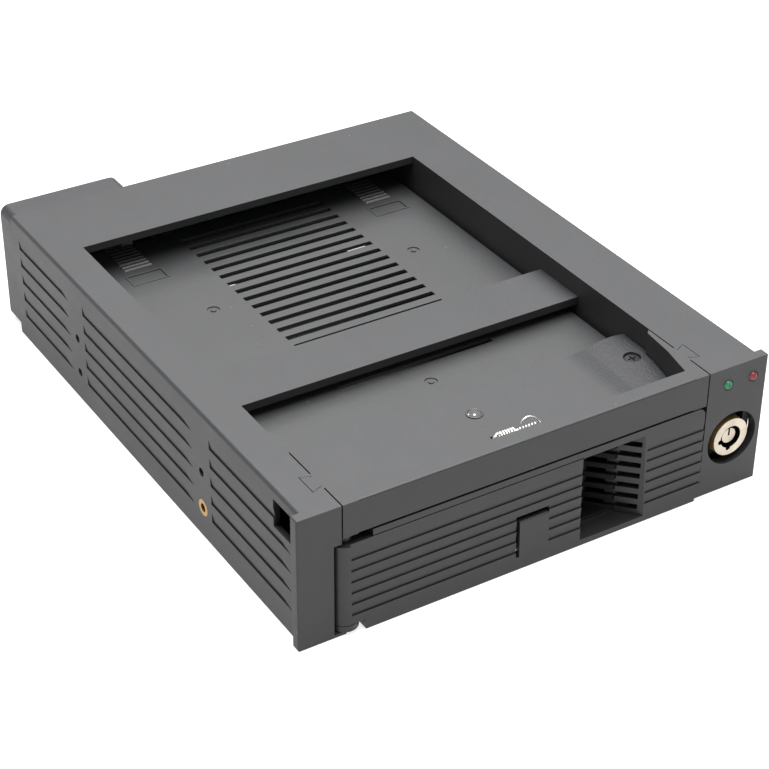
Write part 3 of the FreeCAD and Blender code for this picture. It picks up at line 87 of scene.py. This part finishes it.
class Shader:
    """A small helper that builds one Principled material out of nodes."""

    def __init__(self, name):
        self.material = bpy.data.materials.new(name)
        self.material.use_nodes = True
        self.tree = self.material.node_tree
        self.tree.nodes.clear()
        self.output = self.add("ShaderNodeOutputMaterial")
        self.surface = self.add("ShaderNodeBsdfPrincipled")
        self.link(self.surface.outputs[0], self.output.inputs["Surface"])
        self.place = self.add("ShaderNodeTexCoord").outputs["Object"]

    def add(self, kind, **values):
        node = self.tree.nodes.new(kind)
        for key, value in values.items():
            setattr(node, key, value)
        return node

    def link(self, start, end):
        self.tree.links.new(start, end)

    def set(self, **values):
        for key, value in values.items():
            self.surface.inputs[key.replace("_", " ")].default_value = value

    def noise(self, size, detail=2.0, roughness=0.5, stretch=None):
        """Noise whose features are about size metres wide."""
        node = self.add("ShaderNodeTexNoise")
        node.inputs["Scale"].default_value = 1.0 / size
        node.inputs["Detail"].default_value = detail
        node.inputs["Roughness"].default_value = roughness
        source = self.place
        if stretch:
            mapping = self.add("ShaderNodeMapping")
            mapping.inputs["Scale"].default_value = stretch
            self.link(self.place, mapping.inputs["Vector"])
            source = mapping.outputs[0]
        self.link(source, node.inputs["Vector"])
        return node.outputs["Fac"]

    def specks(self, size, share):
        """Sparse round specks: 1 inside, 0 outside."""
        node = self.add("ShaderNodeTexVoronoi", feature="F1")
        node.inputs["Scale"].default_value = 1.0 / size
        self.link(self.place, node.inputs["Vector"])
        return self.ramp(node.outputs["Distance"], ((share * 0.6, 1.0), (share, 0.0)))

    def ramp(self, value, stops):
        node = self.add("ShaderNodeValToRGB")
        elements = node.color_ramp.elements
        while len(elements) < len(stops):
            elements.new(0.5)
        for element, (position, level) in zip(elements, stops):
            colour = level if isinstance(level, tuple) else (level, level, level)
            element.position = position
            element.color = (*colour, 1.0)
        self.link(value, node.inputs["Fac"])
        return node.outputs["Color"]

    def maths(self, operation, a, b):
        node = self.add("ShaderNodeMath", operation=operation)
        for socket, value in zip(node.inputs, (a, b)):
            if isinstance(value, (int, float)):
                socket.default_value = value
            else:
                self.link(value, socket)
        return node.outputs[0]

    def mix(self, factor, a, b):
        node = self.add("ShaderNodeMix", data_type="RGBA")
        if isinstance(factor, (int, float)):
            node.inputs[0].default_value = factor
        else:
            self.link(factor, node.inputs[0])
        for socket, value in ((node.inputs[6], a), (node.inputs[7], b)):
            if isinstance(value, tuple):
                socket.default_value = (*value, 1.0)
            else:
                self.link(value, socket)
        return node.outputs[2]

    def range(self, value, low, high):
        node = self.add("ShaderNodeMapRange")
        node.inputs["To Min"].default_value = low
        node.inputs["To Max"].default_value = high
        self.link(value, node.inputs["Value"])
        return node.outputs["Result"]

    def bump(self, height, distance, after=None):
        node = self.add("ShaderNodeBump")
        node.inputs["Distance"].default_value = distance
        node.inputs["Strength"].default_value = 1.0
        self.link(height, node.inputs["Height"])
        if after is not None:
            self.link(after, node.inputs["Normal"])
        return node.outputs["Normal"]

    def inside(self, box, fade):
        """1 well inside the box seen from above, 0 outside it."""
        axes = self.add("ShaderNodeSeparateXYZ")
        self.link(self.place, axes.inputs[0])
        share = 1.0
        for axis in (0, 1):
            for edge, sense in ((box[0][axis], 1.0), (box[1][axis], -1.0)):
                node = self.add("ShaderNodeMapRange")
                node.inputs["From Min"].default_value = edge
                node.inputs["From Max"].default_value = edge + sense * fade
                self.link(axes.outputs[axis], node.inputs["Value"])
                share = self.maths("MULTIPLY", node.outputs["Result"], share)
        return share

    def away(self, centre):
        """Distance from the line through centre along Y."""
        shift = self.add("ShaderNodeVectorMath", operation="SUBTRACT")
        self.link(self.place, shift.inputs[0])
        shift.inputs[1].default_value = centre
        flat = self.add("ShaderNodeVectorMath", operation="MULTIPLY")
        self.link(shift.outputs[0], flat.inputs[0])
        flat.inputs[1].default_value = (1.0, 0.0, 1.0)
        length = self.add("ShaderNodeVectorMath", operation="LENGTH")
        self.link(flat.outputs[0], length.inputs[0])
        return length.outputs["Value"]

    def to(self, socket, output):
        self.link(output, self.surface.inputs[socket])


def moulded_plastic(name, colour, roughness, grain=0.75 * MM, grain_depth=0.06 * MM, pebbled=None,
                    gloss=0.5):
    """Spark-textured ABS: fine grain, flow clouds in colour and sheen, a little dust.

    pebbled is the box of a part with a coarse leather-like grain."""
    shader = Shader(name)
    clouds = shader.noise(26 * MM, 4.0, 0.62)
    smears = shader.noise(9 * MM, 3.0, 0.6, (1.0, 0.45, 1.0))
    fine = shader.noise(grain, 3.0, 0.65)
    dust = shader.specks(9 * MM, 0.028)
    lighter = tuple(min(1.0, channel * 1.18) for channel in colour)
    darker = tuple(channel * 0.85 for channel in colour)
    base = shader.mix(shader.ramp(clouds, ((0.3, 0.0), (0.7, 1.0))), darker, lighter)
    base = shader.mix(shader.maths("MULTIPLY", fine, 0.3), base, lighter)
    shader.to("Base Color", shader.mix(shader.maths("MULTIPLY", dust, 0.4), base, (0.34, 0.34, 0.33)))
    rough = shader.maths("ADD", shader.range(clouds, -0.07, 0.07),
                         shader.range(smears, roughness - 0.05, roughness + 0.05))
    rough = shader.maths("ADD", rough, shader.range(fine, -0.05, 0.05))
    normal = shader.bump(fine, grain_depth)
    if pebbled:
        patch = shader.inside(pebbled, 5.0 * MM)
        rough = shader.maths("ADD", rough, shader.maths("MULTIPLY", patch, 0.1))
        duller = shader.maths("MULTIPLY", patch, 0.14)
        shader.to("Specular IOR Level", shader.maths("SUBTRACT", gloss, duller))
        pebbles = shader.add("ShaderNodeTexVoronoi", feature="SMOOTH_F1")
        pebbles.inputs["Scale"].default_value = 1.0 / (0.85 * MM)
        pebbles.inputs["Smoothness"].default_value = 0.4
        shader.link(shader.place, pebbles.inputs["Vector"])
        height = shader.maths("MULTIPLY", pebbles.outputs["Distance"], patch)
        normal = shader.bump(height, 0.13 * MM, normal)
    shader.to("Normal", normal)
    shader.to("Roughness", rough)
    shader.set(IOR=PLASTIC_IOR, Specular_IOR_Level=gloss)
    return shader.material


def brushed_metal(name, colour, roughness, stretch=(1.0, 1.0, 1.0), grain=0.12 * MM, metal=1.0):
    """Metal with fine brushing and uneven tarnish."""
    shader = Shader(name)
    lines = shader.noise(grain, 2.0, 0.7, stretch)
    tarnish = shader.noise(3.2 * MM, 3.0, 0.6)
    darker = tuple(channel * 0.78 for channel in colour)
    shader.to("Base Color", shader.mix(shader.ramp(tarnish, ((0.35, 0.0), (0.65, 1.0))), darker, colour))
    shader.to("Roughness", shader.maths("ADD", shader.range(lines, -0.07, 0.07),
                                        shader.range(tarnish, roughness, roughness + 0.08)))
    shader.set(Metallic=metal)
    shader.to("Normal", shader.bump(lines, 0.006 * MM))
    return shader.material


def lens_plastic(name, colour, deep, node):
    """Tinted epoxy of an indicator light: a dark chip in the middle, a paler rim."""
    low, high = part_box(node)
    radius = (high.x - low.x) / 2
    shader = Shader(name)
    cloud = shader.noise(0.7 * MM, 2.0, 0.5)
    reach = shader.maths("DIVIDE", shader.away((low + high) / 2), radius)
    rim = tuple(channel * 0.55 + 0.06 for channel in colour)
    rings = shader.ramp(reach, ((0.2, deep), (0.42, colour), (0.72, colour), (0.95, rim)))
    shader.to("Base Color", shader.mix(shader.maths("MULTIPLY", cloud, 0.3), rings, deep))
    shader.to("Roughness", shader.range(cloud, 0.2, 0.3))
    shader.set(IOR=PLASTIC_IOR)
    return shader.material


def board_material(name):
    """Green solder mask over a pattern of copper tracks."""
    shader = Shader(name)
    tracks = shader.add("ShaderNodeTexBrick")
    tracks.inputs["Scale"].default_value = 260.0
    tracks.inputs["Mortar Size"].default_value = 0.03
    tracks.inputs["Color1"].default_value = (0.0, 0.0, 0.0, 1.0)
    tracks.inputs["Color2"].default_value = (0.0, 0.0, 0.0, 1.0)
    tracks.inputs["Mortar"].default_value = (1.0, 1.0, 1.0, 1.0)
    turn = shader.add("ShaderNodeMapping")
    turn.inputs["Rotation"].default_value = (math.pi / 2, 0.0, 0.0)
    shader.link(shader.place, turn.inputs["Vector"])
    shader.link(turn.outputs[0], tracks.inputs["Vector"])
    grime = shader.noise(6 * MM, 2.0, 0.5)
    mask = shader.mix(grime, (0.012, 0.075, 0.035), (0.018, 0.11, 0.05))
    copper = shader.maths("MULTIPLY", tracks.outputs["Color"], 0.6)
    shader.to("Base Color", shader.mix(copper, mask, (0.04, 0.2, 0.09)))
    shader.to("Roughness", shader.range(grime, 0.28, 0.4))
    shader.to("Normal", shader.bump(tracks.outputs["Color"], 0.03 * MM))
    return shader.material


def build_materials():
    charcoal = (0.018, 0.0185, 0.02)
    deck_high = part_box("front_deck")[1]
    mound = (deck_high - Vector((22, 34, 3)) * MM, deck_high + Vector((8, 8, 3)) * MM)
    return {
        "cage": moulded_plastic("cage_plastic", charcoal, 0.5),
        "header": moulded_plastic("header_plastic", (0.017, 0.0175, 0.019), 0.5),
        "deck": moulded_plastic("deck_plastic", (0.019, 0.0195, 0.021), 0.5, pebbled=mound),
        "tray": moulded_plastic("tray_plastic", (0.014, 0.0145, 0.0155), 0.46),
        # near black and low in gloss: painted shade of the deep finger scoop, darker than the rest of the
        # plastic
        "liner_painted_shade": moulded_plastic("liner_painted_shade_plastic", (0.005, 0.005, 0.0055), 0.62, gloss=0.22),
        "cover": moulded_plastic("cover_plastic", (0.02, 0.0205, 0.0215), 0.5),
        "fan": moulded_plastic("fan_plastic", (0.015, 0.015, 0.018), 0.5),
        "rivet": moulded_plastic("rivet_plastic", (0.02, 0.0205, 0.022), 0.4, 0.3 * MM, 0.05 * MM),
        "connector": moulded_plastic("connector_plastic", (0.02, 0.02, 0.021), 0.4),
        "socket": moulded_plastic("socket_plastic", (0.62, 0.6, 0.54), 0.42),
        "sleeve": moulded_plastic("lead_plastic", (0.02, 0.02, 0.021), 0.55),
        "zinc": brushed_metal("zinc_plate", (0.5, 0.49, 0.47), 0.32),
        "dark_steel": brushed_metal("dark_steel", (0.045, 0.045, 0.048), 0.42),
        "wire": brushed_metal("spring_wire", (0.95, 0.94, 0.9), 0.34, (1.0, 6.0, 6.0), metal=0.6),
        "lock": brushed_metal("lock_face", (0.6, 0.53, 0.44), 0.36),
        "gilt": brushed_metal("lock_gilt", (0.62, 0.44, 0.18), 0.58),
        # black key ring walls: dark oiled metal plus painted shade of the lock's recess
        "keyway_oil_and_shade": brushed_metal("lock_keyway_oil_and_shade", (0.012, 0.011, 0.01), 0.6),
        "brass": brushed_metal("insert_brass", (0.5, 0.3, 0.1), 0.34),
        "green": lens_plastic("green_lens", (0.035, 0.24, 0.1), (0.004, 0.035, 0.016), "led_green"),
        "red": lens_plastic("red_lens", (0.27, 0.035, 0.03), (0.05, 0.006, 0.006), "led_red"),
        "board": board_material("solder_mask"),
    }


# ---- Skins: a copy of a CAD solid's mesh with its hard edges rounded

WELD = 0.002 * MM                   # corners nearer than this are one corner
FLAT_ANGLE = math.radians(0.6)      # faces that meet flatter than this are one face
HARD_ANGLE = math.radians(28.0)     # edges sharper than this are rounded


def rounded_copy(node, name, width, material):
    """A new piece shaped as the CAD node, with real rounded edges width metres wide."""
    source = frame["nodes"][node]
    mesh = source.data.copy()
    mesh.name = name
    if "custom_normal" in mesh.attributes:
        mesh.attributes.remove(mesh.attributes["custom_normal"])
    mesh.materials.clear()
    mesh.materials.append(material)
    work = bmesh.new()
    work.from_mesh(mesh)
    bmesh.ops.remove_doubles(work, verts=work.verts, dist=WELD)
    bmesh.ops.dissolve_limit(work, angle_limit=FLAT_ANGLE, verts=work.verts, edges=work.edges,
                             use_dissolve_boundaries=False)
    work.to_mesh(mesh)
    work.free()
    piece = bpy.data.objects.new(name, mesh)
    SCENE.collection.objects.link(piece)
    bevel = piece.modifiers.new("edges", "BEVEL")
    bevel.width = width
    bevel.segments = 2
    bevel.limit_method = "ANGLE"
    bevel.angle_limit = HARD_ANGLE
    bevel.use_clamp_overlap = True
    bevel.loop_slide = False
    bevel.harden_normals = False
    apply_modifiers(piece)
    shade(piece, 50.0)
    flat = piece.modifiers.new("flat", "WEIGHTED_NORMAL")
    flat.mode = "FACE_AREA"
    flat.weight = 100
    flat.keep_sharp = True
    apply_modifiers(piece)
    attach(piece, source["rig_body"])
    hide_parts(node)
    return piece


def face_paints(piece, choose, *materials):
    """Gives each face one of several materials; choose takes a face's middle and normal."""
    for material in materials:
        piece.data.materials.append(material)
    for face in piece.data.polygons:
        face.material_index = choose(face.center, face.normal)


def lock_paints(paints):
    """Satin face, gilt side and a black key ring, on the barrel and on its plug; the black inner walls are
    dark oiled metal darkened further with painted shade of the recess.
    """
    face_depth, key_ring = 0.3 * MM, 5.0 * MM
    low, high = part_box("lock_barrel")
    middle = (low + high) / 2
    for node, name in (("lock_barrel", "barrel_skin"), ("lock_plug", "plug_skin")):
        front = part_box(node)[0].y
        piece = rounded_copy(node, name, 0.12 * MM, paints["lock"])

        def choose(place, normal, front=front):
            reach = math.hypot(place.x - middle.x, place.z - middle.z)
            if place.y < front + face_depth and normal.y < -0.3:
                return 0
            # faces inside the key ring get the black: oiled metal plus painted shade
            return 1 if reach > key_ring else 2

        face_paints(piece, choose, paints["gilt"], paints["keyway_oil_and_shade"])


def wire(name, points, radius, material):
    """A smooth round wire through the points, as a mesh."""
    data = bpy.data.curves.new(name, "CURVE")
    data.dimensions = "3D"
    data.bevel_depth = radius
    data.bevel_resolution = 3
    data.use_fill_caps = True
    line = data.splines.new("POLY")
    line.points.add(len(points) - 1)
    for point, place in zip(line.points, points):
        point.co = (*place, 1.0)
    shape = bpy.data.objects.new(name, data)
    SCENE.collection.objects.link(shape)
    bpy.context.view_layer.update()
    mesh = bpy.data.meshes.new_from_object(shape.evaluated_get(bpy.context.evaluated_depsgraph_get()))
    bpy.data.objects.remove(shape)
    bpy.data.curves.remove(data)
    mesh.name = name
    mesh.shade_smooth()
    mesh.materials.clear()
    mesh.materials.append(material)
    piece = bpy.data.objects.new(name, mesh)
    SCENE.collection.objects.link(piece)
    return piece


def spring(paints):
    """The spring on the lock bar: a wide coil, thinner open turns and an end hook that stands up."""
    low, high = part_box("return_spring")
    middle_y = (low.y + high.y) / 2
    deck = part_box("front_deck")[0].z + DECK_UP
    coil_y = middle_y - 0.8 * MM
    coil_r, thin_r, ring_r = 1.15 * MM, 0.46 * MM, 1.25 * MM
    start, coil_end, hook_x = (at(x, 0.0, 0.0).x for x in (66.9, 72.6, 80.4))
    axis_z = deck + 0.95 * MM
    steps = 20
    points = []
    for step in range(steps + 4):                   # open end ring, turned towards the front
        angle = 2 * math.pi * step / steps
        points.append((start - 0.3 * MM - ring_r * math.cos(angle),
                       coil_y - 0.35 * MM - 0.3 * MM * step / steps,
                       axis_z + 0.25 * MM + ring_r * math.sin(angle)))
    turns = 7
    for step in range(turns * steps + 1):
        share = step / (turns * steps)
        angle = 2 * math.pi * turns * share
        points.append((start + (coil_end - start) * share, coil_y - coil_r * math.cos(angle),
                       axis_z + coil_r * math.sin(angle)))
    turns = 8
    for step in range(1, turns * steps + 1):
        share = step / (turns * steps)
        angle = 2 * math.pi * turns * share
        radius = coil_r + (thin_r - coil_r) * min(1.0, share * 8)
        points.append((coil_end + (hook_x - coil_end) * share,
                       coil_y + (middle_y - coil_y) * min(1.0, share * 4) - radius * math.cos(angle),
                       deck + 0.3 * MM + radius * math.sin(angle)))
    hook = ((80.8, 0.5), (80.5, 1.2), (79.9, 2.0), (79.2, 2.8), (78.3, 3.5), (77.3, 3.95), (76.3, 4.0),
            (75.4, 3.7), (74.9, 3.1), (74.8, 2.5))
    points += [(at(x, 0.0, 0.0).x, middle_y - thin_r, deck + z * MM) for x, z in hook]
    piece = wire("spring_wire", points, 0.26 * MM, paints["wire"])
    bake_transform(piece)
    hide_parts("return_spring")


def lathe(name, profile, centre, material, sides=48):
    """A round piece about an upright axis, from (radius, height) pairs."""
    work = bmesh.new()
    rows = []
    for radius, height in profile:
        if radius == 0.0:
            rows.append([work.verts.new((centre.x, centre.y, centre.z + height))] * sides)
        else:
            rows.append([work.verts.new((centre.x + radius * math.cos(2 * math.pi * side / sides),
                                         centre.y + radius * math.sin(2 * math.pi * side / sides),
                                         centre.z + height)) for side in range(sides)])
    for lower, upper in zip(rows, rows[1:]):
        for side in range(sides):
            after = (side + 1) % sides
            corners = [lower[side], lower[after], upper[after], upper[side]]
            work.faces.new(list(dict.fromkeys(corners)))
    bmesh.ops.recalc_face_normals(work, faces=work.faces)
    mesh = bpy.data.meshes.new(name)
    work.to_mesh(mesh)
    work.free()
    mesh.materials.append(material)
    piece = bpy.data.objects.new(name, mesh)
    SCENE.collection.objects.link(piece)
    shade(piece, 40.0)
    return piece


def in_metres(profile):
    return [(radius * MM, height * MM) for radius, height in profile]


def rivet(paints):
    """The moulded rivet: a dished head with a thin rim, and two small bright metal domes beside it that are
    painted highlights, standing for glints on the head.
    """
    low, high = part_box("deck_rivet")
    middle = (low + high) / 2
    seat = Vector((middle.x, middle.y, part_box("front_deck")[0].z + DECK_UP))
    outer = (high.x - low.x) / 2 / MM
    head = ((0.0, -1.2), (0.9, -1.2), (0.9, 0.02), (outer, 0.02), (outer - 0.05, 0.24),
            (outer - 0.3, 0.34), (outer - 0.5, 0.3), (outer - 0.75, 0.08), (0.0, 0.05))
    piece = lathe("rivet_head", in_metres(head), seat, paints["rivet"])
    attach(piece, "cage")
    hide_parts("deck_rivet")
    # two bright metal domes: painted highlights set where glints fall on the rivet
    for name, shift, radius in (("rivet_painted_glint", (-0.35, -0.55), 0.42), ("rivet_painted_glint_small", (-1.75, 0.35), 0.26)):
        dome = ((0.0, 0.02), (radius, 0.02), (radius, 0.12), (radius * 0.7, 0.26), (0.0, 0.34))
        place = seat + Vector((shift[0], shift[1], 0.0)) * MM
        glint = lathe(name, in_metres(dome), place, paints["wire"], 20)
        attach(glint, "cage")


def lens_rim(node, name, material):
    """The moulded collar round an indicator light."""
    low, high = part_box(node)
    middle = (low + high) / 2
    radius = (high.x - low.x) / 2 + 0.16 * MM
    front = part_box("bay_frame")[0].y
    points = []
    steps = 40
    for step in range(steps + 1):
        angle = 2 * math.pi * step / steps
        points.append((middle.x + radius * math.cos(angle), front + 0.12 * MM,
                       middle.z + radius * math.sin(angle)))
    piece = wire(name, points, 0.2 * MM, material)
    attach(piece, "cage")


def apply_modifiers(piece):
    bpy.context.view_layer.update()
    graph = bpy.context.evaluated_depsgraph_get()
    final = bpy.data.meshes.new_from_object(piece.evaluated_get(graph))
    piece.modifiers.clear()
    old = piece.data
    piece.data = final
    final.name = old.name
    bpy.data.meshes.remove(old)


def shade(piece, angle):
    """Smooth where faces meet flatter than angle degrees, sharp at the rest."""
    piece.data.shade_smooth()
    work = bmesh.new()
    work.from_mesh(piece.data)
    limit = math.radians(angle)
    for edge in work.edges:
        edge.smooth = len(edge.link_faces) == 2 and edge.calc_face_angle(0.0) < limit
    work.to_mesh(piece.data)
    work.free()


def paint(node, material):
    """Gives a CAD node that stays its material."""
    shown = frame["nodes"][node]
    shown.data.materials.clear()
    shown.data.materials.append(material)


# ---- Stage

MIDDLE = (73.0, 95.0, 20.0)         # near the middle of the cage, in millimetres


def camera():
    """The view from the front left, looking down on the cage."""
    heading, dip, roll = math.radians(31.87), math.radians(33.12), math.radians(0.48)
    forward = Vector((math.sin(heading) * math.cos(dip), math.cos(heading) * math.cos(dip), -math.sin(dip)))
    right = Vector((math.cos(heading), -math.sin(heading), 0.0))
    up = right.cross(forward)
    turned_right = right * math.cos(roll) + up * math.sin(roll)
    turned_up = up * math.cos(roll) - right * math.sin(roll)
    basis = Matrix((turned_right, turned_up, -forward)).transposed()
    data = bpy.data.cameras.new("camera")
    data.sensor_width = 36.0
    data.lens = 97.51
    data.clip_start = 0.01
    data.clip_end = 20.0
    eye = bpy.data.objects.new("camera", data)
    eye.matrix_world = Matrix.Translation(at(-198.82, -357.07, 347.38)) @ basis.to_4x4()
    SCENE.collection.objects.link(eye)
    SCENE.camera = eye


def area_light(name, spot, size, power):
    """A lamp at spot, in millimetres, with its size in metres, turned to MIDDLE."""
    data = bpy.data.lights.new(name, "AREA")
    data.shape = "RECTANGLE"
    data.size, data.size_y = size
    data.energy = power
    lamp = bpy.data.objects.new(name, data)
    lamp.location = at(*spot)
    lamp.rotation_euler = (at(*MIDDLE) - at(*spot)).to_track_quat("-Z", "Y").to_euler()
    SCENE.collection.objects.link(lamp)


def studio():
    work = bmesh.new()
    bmesh.ops.create_grid(work, x_segments=1, y_segments=1, size=3.0)
    mesh = bpy.data.meshes.new("floor")
    work.to_mesh(mesh)
    work.free()
    floor = bpy.data.objects.new("floor", mesh)
    floor.location = at(*MIDDLE[:2], 0.0)
    SCENE.collection.objects.link(floor)
    shader = Shader("floor_white")
    shader.set(Roughness=0.9, IOR=1.2)
    shader.surface.inputs["Base Color"].default_value = (0.3, 0.3, 0.302, 1.0)
    shader.surface.inputs["Emission Color"].default_value = (1.0, 1.0, 1.0, 1.0)
    shader.surface.inputs["Emission Strength"].default_value = 0.8
    mesh.materials.append(shader.material)

    world = bpy.data.worlds.new("studio")
    SCENE.world = world
    world.use_nodes = True
    background = world.node_tree.nodes["Background"]
    background.inputs["Color"].default_value = (1.0, 1.0, 1.0, 1.0)
    background.inputs["Strength"].default_value = 0.42
    area_light("overhead", (120.0, 120.0, 1250.0), (1.2, 1.2), 38.0)
    area_light("back_sheen", (560.0, 880.0, 1180.0), (1.7, 1.2), 21.0)
    area_light("back_left", (-750.0, 1050.0, 420.0), (1.4, 0.7), 1.6)
    area_light("front_right", (620.0, -760.0, 900.0), (0.9, 0.9), 1.2)
    SCENE.view_settings.view_transform = "Standard"


def main():
    paints = build_materials()
    rounded_copy("bay_frame", "cage_moulding", 0.3 * MM, paints["cage"])
    rounded_copy("front_header", "header_moulding", 0.3 * MM, paints["header"])
    rounded_copy("front_deck", "deck_plate", 0.2 * MM, paints["deck"])
    rounded_copy("tray_body", "tray_moulding", 0.2 * MM, paints["tray"])
    rounded_copy("tray_cover", "tray_lid", 0.15 * MM, paints["cover"])
    rounded_copy("swing_handle", "handle_panel", 0.2 * MM, paints["tray"])
    rounded_copy("release_tab", "release_catch", 0.2 * MM, paints["tray"])
    # the scoop liner carries the painted shade of the finger recess
    rounded_copy("finger_scoop", "scoop_liner_painted_shade", 0.2 * MM, paints["liner_painted_shade"])
    rounded_copy("fan_frame", "fan_housing", 0.25 * MM, paints["fan"])
    rivet(paints)
    lock_paints(paints)
    spring(paints)
    lens_rim("led_green", "green_rim", paints["cage"])
    lens_rim("led_red", "red_rim", paints["cage"])
    for node, key in (
        ("fan_rotor", "fan"), ("thread_inserts", "brass"), ("deck_screw", "dark_steel"),
        ("lock_bar", "zinc"), ("lock_nut", "zinc"), ("lock_cam", "zinc"), ("cam_screw", "zinc"),
        ("led_green", "green"), ("led_red", "red"), ("led_board", "board"), ("led_lead", "sleeve"),
        ("backplane_board", "board"), ("backplane_screws", "zinc"), ("backplane_socket", "connector"),
        ("power_socket", "socket"), ("data_socket", "connector"), ("fan_screws", "zinc"),
        ("tray_board", "board"), ("board_screws", "zinc"), ("drive_connector", "connector"),
        ("tray_dock_plug", "connector"), ("handle_pin", "wire"), ("tab_pin", "wire"),
        ("tab_spring", "wire"),
    ):
        paint(node, paints[key])
    camera()
    studio()


main()
